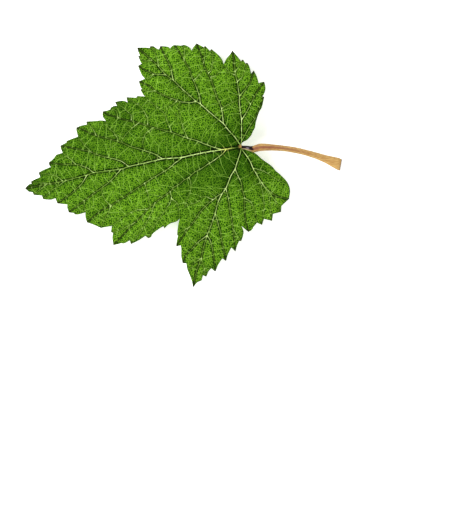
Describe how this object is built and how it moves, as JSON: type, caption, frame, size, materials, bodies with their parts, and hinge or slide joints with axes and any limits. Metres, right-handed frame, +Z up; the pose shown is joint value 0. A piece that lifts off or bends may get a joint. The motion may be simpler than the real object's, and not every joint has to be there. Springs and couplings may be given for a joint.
{
  "type": "blackcurrant leaf",
  "caption": "Lobed, toothed green leaf blade with a net of veins, domed down to its lobe tips, on a short grooved stalk, lying face up as picked.",
  "frame": {"origin": "middle of the bottom of the whole leaf's box, on the surface that it lies on", "axes": "+Z up out of the leaf's upper face, +X from the tip of the middle lobe towards the end of the stalk, +Y towards the upper side lobe"},
  "size_m": [0.0576, 0.0442, 0.0057],
  "materials": {
    "leaf_green": "soft semi-matt leaf surface, puckered between its veins",
    "stalk_brown": "smooth satin plant skin, purple brown by the blade and ochre beyond"
  },
  "bodies": {
    "root": {"leaf_blade": "leaf_green", "leaf_stalk": "stalk_brown"}
  },
  "joints": []
}
